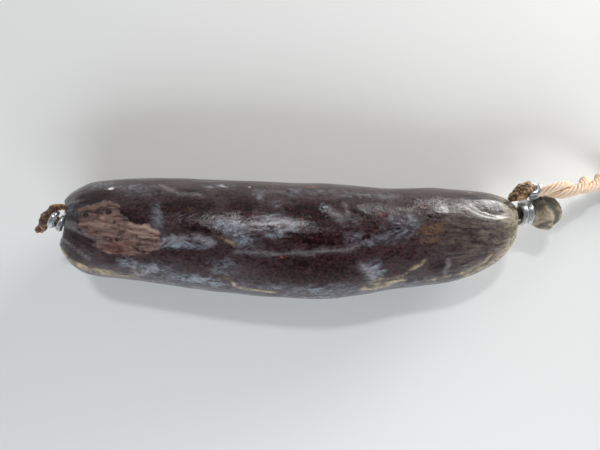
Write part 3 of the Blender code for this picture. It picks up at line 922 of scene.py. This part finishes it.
def fillingMaterial():
    material, flow, shader = newMaterial("bloodFilling", Roughness=0.4)
    grain = flow.noise(1.3, 4, 0.6)
    patch = flow.noise(11.0, 3, 0.6)
    specks = 1 - flow.cells(2.6).between(0.12, 0.24)
    colour = grain.between(0.3, 0.7).blend(tint(52, 22, 26), tint(92, 48, 48))
    colour = (patch.between(0.45, 0.7) * 0.5).blend(colour, tint(46, 26, 30))
    colour = (specks * grain.between(0.5, 0.6) * 0.7).blend(colour, tint(140, 92, 84))
    feed(shader, flow, Base_Color=colour, Normal=flow.bumped(grain, 0.3, 0.5))
    return material


def makeFilling():
    grid, _ = bodyGrid(filling["rings"], filling["around"])
    rings, around, _ = grid.shape
    points = grid.reshape(-1, 3)
    normal = gridNormals(grid).reshape(-1, 3)
    ends = 1 - smoothStep(0, 14, points[:, 0] + 105)
    inset = filling["inset"] + (filling["endInset"] - filling["inset"]) * ends
    points = points + normal * (bodyLumps(points) - inset)[:, None]
    points = sinkFunnel(points, 0.6)
    points[:, 2] = np.maximum(points[:, 2], 0.5)
    closed, faces = closedTube(points.reshape(rings, around, 3))
    piece = meshPiece("blood_filling", closed, faces, fillingMaterial())
    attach(piece, "root")
    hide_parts("filling")


makeFilling()
print("filling made")


def clipMaterial():
    material, flow, shader = newMaterial("clipWire", Metallic=0.85)
    dull = flow.noise(1.6, 4, 0.6)
    scratch = flow.noise(0.35, 2, 0.5, 0.0, (1, 1, 5))
    colour = dull.between(0.3, 0.7).blend(tint(176, 182, 184), tint(236, 239, 240))
    feed(shader, flow, Base_Color=colour, Roughness=0.14 + dull * 0.2,
         Normal=flow.bumped(scratch, 0.05, 0.4))
    return material


wireTurn = {
    "middle": 270,      # degrees round the neck: underneath, so that the ends overlap on top
    "sweep": 500,
    "crossOver": 100,   # degrees either side of the middle over which the wire shifts sideways
    "steps": 110,
    "around": 20,
    "endRadius": 0.86,
    "endShare": 0.02,
    "flatten": 0.96,
}


def makeClip(name, material):
    clip = clips[name]
    across, up, out = neckAxes(clip)
    between = 2 * clip["wire"] + clip["apart"]
    path = []
    for i in range(wireTurn["steps"] + 1):
        turned = wireTurn["sweep"] * (i / wireTurn["steps"] - 0.5)
        angle = math.radians(wireTurn["middle"] + turned)
        slide = max(-1.0, min(1.0, turned / wireTurn["crossOver"]))
        along = between / 2 * slide * (3 - slide * slide) / 2
        along += clip["bow"] * max(0.0, math.sin(angle)) ** 3 * (slide < 0)
        path.append(np.array(clip["centre"]) + across * clip["ring"] * math.cos(angle)
                    + up * clip["ring"] * math.sin(angle) + out * along)
    path = np.array(path)
    reach = np.linspace(0, 1, len(path))
    share = wireTurn["endShare"]
    full = smoothStep(0, share, reach) * smoothStep(0, share, 1 - reach)
    wire = clip["wire"] * (wireTurn["endRadius"] + (1 - wireTurn["endRadius"]) * full)
    grid = sweptTube(path, wire, wire * wireTurn["flatten"], wireTurn["around"])
    points, faces = closedTube(grid)
    piece = meshPiece(name + "_wire", points, faces, material)
    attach(piece, "root")
    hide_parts(name)


wireMaterial = clipMaterial()
for clipName in clips:
    makeClip(clipName, wireMaterial)
print("clips made")


gathered = {
    # each is a path with a radius at each place
    "left_tail": {"stations": [
        (-101.2, 6.7, 29.4, 1.4), (-102.6, 7.4, 30.2, 1.4), (-104.4, 9.0, 31.8, 1.7),
        (-106.0, 9.6, 32.3, 2.0), (-107.8, 8.5, 31.4, 2.1), (-109.6, 6.4, 29.3, 2.0),
        (-111.3, 4.6, 27.2, 1.9), (-113.2, 3.6, 25.9, 1.8), (-115.0, 3.0, 25.0, 1.2)],
        "crumple": 0.5, "flatten": 0.8},
    "left_fold": {"stations": [
        (-106.4, 9.4, 32.2, 1.6), (-104.4, 11.6, 32.4, 1.7), (-102.2, 12.8, 32.8, 1.6),
        (-99.6, 13.1, 33.6, 1.3), (-96.9, 12.4, 34.8, 1.0)], "crumple": 0.38, "flatten": 0.8},
    "right_neck": {"stations": [
        (94.0, 10.0, 20.9, 4.0), (97.4, 10.5, 21.0, 2.7), (100.6, 10.8, 21.0, 2.6),
        (104.0, 11.1, 20.9, 3.2), (106.6, 11.3, 20.8, 4.5)], "crumple": 0.25, "flatten": 1.0},
    "strap": {"stations": [
        (107.8, 14.2, 22.6, 3.0), (106.2, 17.2, 22.4, 2.0), (104.8, 19.3, 22.2, 1.4),
        (103.1, 21.0, 24.5, 1.3), (101.7, 22.5, 26.9, 1.3)], "crumple": 0.25, "flatten": 1.0},
    "brown_stub": {"stations": [
        (101.5, 22.4, 27.0, 1.2), (99.9, 21.9, 27.8, 2.5), (98.0, 20.4, 27.6, 3.3),
        (95.9, 19.2, 27.2, 2.9), (93.7, 17.7, 26.6, 2.0), (92.2, 16.4, 26.0, 1.1)],
        "crumple": 0.45, "flatten": 0.85},
}

gatheredMesh = {"rings": 130, "around": 56, "creaseSize": 3.2, "fineSize": 1.1}

knob = {
    "centre": (110.1, 11.2, 20.6), "radii": (7.0, 7.7, 7.2), "rings": 130, "around": 180,
    "foldAcross": (0.9, 0.42, 0.0), "foldAside": 0.16,
    # heights are shares of the radius; widths and places are measured across the fold
    "foldWaver": 0.12, "ridge": 0.07, "ridgeWidth": 0.13,
    "furrow": 0.05, "furrowWidth": 0.2, "furrowPlace": 0.34,
    "rimCrinkle": 0.16, "rimBetween": (0.45, 0.9), "swell": 0.07,
}


def driedMaterial(name, dark, mid, pale, patch):
    material, flow, shader = newMaterial(name, IOR=1.45)
    broad = flow.noise(patch, 4, 0.6, 0.8)
    fine = flow.noise(0.8, 5, 0.65)
    creases = flow.ridges(2.2, 6, 4, 0.6, 0.9, (1, 1, 1))
    colour = broad.between(0.36, 0.62).blend(dark, mid)
    # painted highlight: pale colour on the raised crease lines and on fine flecks
    creaseHighlight = (creases * broad.between(0.45, 0.6) * 0.6 + fine.between(0.56, 0.7) * 0.35).kept()
    colour = creaseHighlight.blend(colour, pale)
    feed(shader, flow, Base_Color=colour, Roughness=0.3 + fine * 0.2,
         Normal=flow.bumped(creases * 0.7 + fine * 0.4 + broad, 0.5, 0.8))
    return material


def makeGathered(name, material):
    rings, around = gatheredMesh["rings"], gatheredMesh["around"]
    rows = evenly(throughPoints(gathered[name]["stations"], 14), rings)
    grid = sweptTube(rows[:, :3], rows[:, 3], rows[:, 3] * gathered[name]["flatten"], around)
    flat = grid.reshape(-1, 3)
    normal = gridNormals(grid).reshape(-1, 3)
    creases = fractalAt(flat, gatheredMesh["creaseSize"], 2.0, octaves=3)
    creases = creases + 0.4 * noiseAt(flat, gatheredMesh["fineSize"], 9.0)
    rise = gathered[name]["crumple"] * np.repeat(rows[:, 3], around) * creases
    grid = (flat + normal * rise[:, None]).reshape(grid.shape)
    points, faces = closedTube(grid)
    piece = meshPiece(name, points, faces, material)
    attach(piece, "root")
    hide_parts("casing")


def makeKnob(material):
    polar = np.linspace(0, math.pi, knob["rings"])
    turn = np.linspace(0, 2 * math.pi, knob["around"], endpoint=False)
    # the poles lie along x, so that the folds run out from the neck
    grid = np.zeros((len(polar), len(turn), 3))
    grid[..., 0] = -np.cos(polar)[:, None]
    grid[..., 1] = -np.sin(polar)[:, None] * np.cos(turn)
    grid[..., 2] = np.sin(polar)[:, None] * np.sin(turn)
    ball = grid.reshape(-1, 3)
    # one ridge and the furrow beside it run across the top; the far rim is crinkled
    over = ball @ knob["foldAcross"] + knob["foldAside"]
    over = over + knob["foldWaver"] * noiseAt(ball, 0.5, 12.0)
    folds = knob["ridge"] * np.exp(-(over / knob["ridgeWidth"]) ** 2)
    folds -= knob["furrow"] * np.exp(-((over - knob["furrowPlace"]) / knob["furrowWidth"]) ** 2)
    crinkle = fractalAt(ball, 0.22, 6.0, (1, 2.2, 1), 3)
    folds += knob["rimCrinkle"] * smoothStep(*knob["rimBetween"], over) * crinkle
    folds += knob["swell"] * noiseAt(ball, 0.5, 4.0, (2.5, 1, 1))
    points = (ball * (1 + folds)[:, None]) * knob["radii"] + knob["centre"]
    closed, faces = closedTube(points.reshape(grid.shape))
    piece = meshPiece("knob", closed, faces, material)
    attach(piece, "root")
    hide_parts("casing")


tailMaterial = driedMaterial("driedTail", tint(50, 28, 22), tint(122, 90, 66), tint(206, 156, 112), 3.0)
stubMaterial = driedMaterial("brownStub", tint(24, 14, 8), tint(126, 88, 50), tint(218, 184, 144), 3.4)
# the neck's casing is coloured near black: painted shade of the crevice between the body's end and the
# knob
shadedNeckMaterial = driedMaterial("neckSkinInShade", tint(12, 9, 8), tint(48, 40, 32), tint(104, 92, 76), 3.0)
knobMaterial = driedMaterial("knobSkin", tint(74, 74, 64), tint(142, 124, 98), tint(200, 184, 160), 9.0)
makeGathered("left_tail", tailMaterial)
makeGathered("left_fold", tailMaterial)
makeGathered("right_neck", shadedNeckMaterial)
makeGathered("strap", knobMaterial)
makeGathered("brown_stub", stubMaterial)
makeKnob(knobMaterial)
print("gathered ends made")
